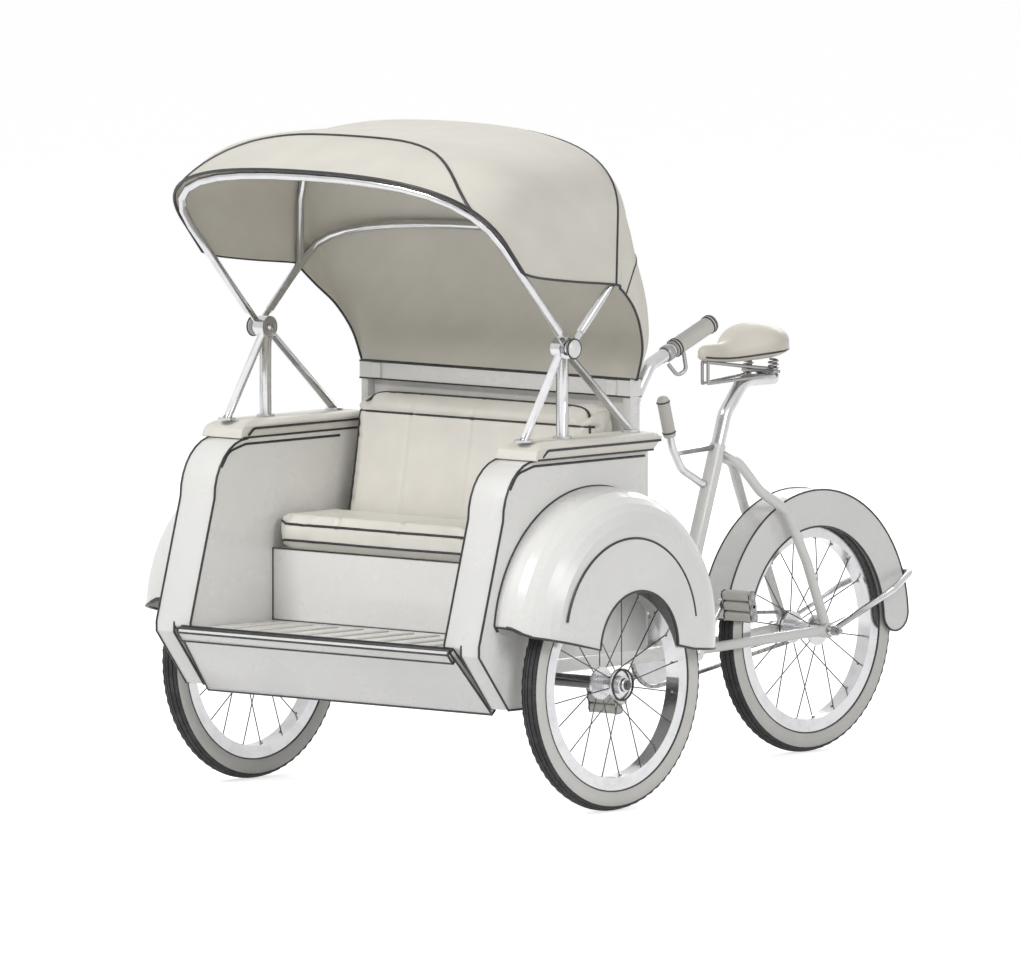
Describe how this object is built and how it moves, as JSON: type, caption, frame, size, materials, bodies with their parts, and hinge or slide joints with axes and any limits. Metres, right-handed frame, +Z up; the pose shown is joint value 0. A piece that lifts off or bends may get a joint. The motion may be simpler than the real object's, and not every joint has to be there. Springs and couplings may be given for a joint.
{
  "type": "cycle rickshaw",
  "caption": "Pedalled rickshaw with a hooded passenger cabin between steered front wheels and the rider's saddle, crank and drive wheel behind.",
  "frame": {"origin": "on the floor, in the middle of the overall width and length", "axes": "+Z up, -Y towards the front of the cabin, +X to the passengers' left"},
  "size_m": [1.46, 2.3501, 1.7539],
  "materials": {
    "enamel": "white gloss enamel, slightly aged",
    "hood_cloth": "waxed ivory canvas",
    "seat_hide": "off-white leathercloth with dark piping",
    "bright_steel": "polished plated steel",
    "dark_steel": "black underbody paint",
    "raw_steel": "oiled steel",
    "alloy": "satin alloy",
    "tyre": "black rubber with pale side walls",
    "grip_rubber": "ribbed black rubber",
    "saddle_hide": "pale saddle leather"
  },
  "bodies": {
    "rear_frame": {"main_beam": "enamel", "seat_tube": "enamel", "chain_stays": "enamel", "seat_stays": "enamel", "seat_post": "bright_steel", "saddle": "saddle_hide", "saddle_springs": "bright_steel", "rear_fender": "enamel", "fender_stay": "bright_steel", "rear_axle": "raw_steel", "brake_lever": "bright_steel", "brake_grip": "grip_rubber", "chain": "raw_steel"},
    "cabin": {"front_axle": "dark_steel", "chassis": "dark_steel", "floor_pan": "enamel", "apron": "enamel", "wall_left": "enamel", "wall_right": "enamel", "armrest_left": "seat_hide", "armrest_right": "seat_hide", "back_panel": "enamel", "seat_base": "enamel", "seat_cushion": "seat_hide", "backrest": "seat_hide", "hood_rail": "enamel", "hood_stands": "bright_steel", "fender_left": "enamel", "fender_right": "enamel", "handles": "bright_steel", "grips": "grip_rubber", "hood_cover": "hood_cloth"},
    "front_wheel_left": {"tyre_left": "tyre", "rim_left": "bright_steel", "hub_left": "bright_steel"},
    "front_wheel_right": {"tyre_right": "tyre", "rim_right": "bright_steel", "hub_right": "bright_steel"},
    "rear_wheel": {"tyre_rear": "tyre", "rim_rear": "bright_steel", "hub_rear": "bright_steel"},
    "crank": {"crankset": "alloy"},
    "left_pedal": {"pedal_left": "raw_steel"},
    "right_pedal": {"pedal_right": "raw_steel"},
    "hood_rear": {"rear_bow": "bright_steel"},
    "hood_front": {"front_bow": "bright_steel"}
  },
  "joints": [
    {"name": "steering", "type": "hinge", "parent": "rear_frame", "child": "cabin", "pos_m": [0, -0.56605, 0.31], "axis": [0, 0, 1], "range_deg": [-40, 40]},
    {"name": "front_left_spin", "type": "hinge", "parent": "cabin", "child": "front_wheel_left", "pos_m": [0.63, -0.68605, 0.33], "axis": [1, 0, 0], "continuous": true},
    {"name": "front_right_spin", "type": "hinge", "parent": "cabin", "child": "front_wheel_right", "pos_m": [-0.63, -0.68605, 0.33], "axis": [1, 0, 0], "continuous": true},
    {"name": "rear_spin", "type": "hinge", "parent": "rear_frame", "child": "rear_wheel", "pos_m": [0, 0.80395, 0.33], "axis": [1, 0, 0], "continuous": true},
    {"name": "crank_spin", "type": "hinge", "parent": "rear_frame", "child": "crank", "pos_m": [0, 0.26895, 0.305], "axis": [1, 0, 0], "continuous": true},
    {"name": "left_pedal_spin", "type": "hinge", "parent": "crank", "child": "left_pedal", "pos_m": [0.15, 0.36395, 0.43], "axis": [1, 0, 0], "continuous": true},
    {"name": "right_pedal_spin", "type": "hinge", "parent": "crank", "child": "right_pedal", "pos_m": [-0.15, 0.17395, 0.18], "axis": [1, 0, 0], "continuous": true},
    {"name": "hood_fold", "type": "hinge", "parent": "cabin", "child": "hood_rear", "pos_m": [0.52, -0.75105, 1.2], "axis": [-1, 0, 0], "range_deg": [0, 40], "deforming": ["hood_cover"]},
    {"name": "hood_front_fold", "type": "hinge", "parent": "hood_rear", "child": "hood_front", "pos_m": [0.52, -0.75105, 1.2], "axis": [-1, 0, 0], "range_deg": [0, 60]}
  ],
  "couplings": [
    {"joint": "hood_front_fold", "follows": "hood_fold", "ratio": 1.5}
  ]
}
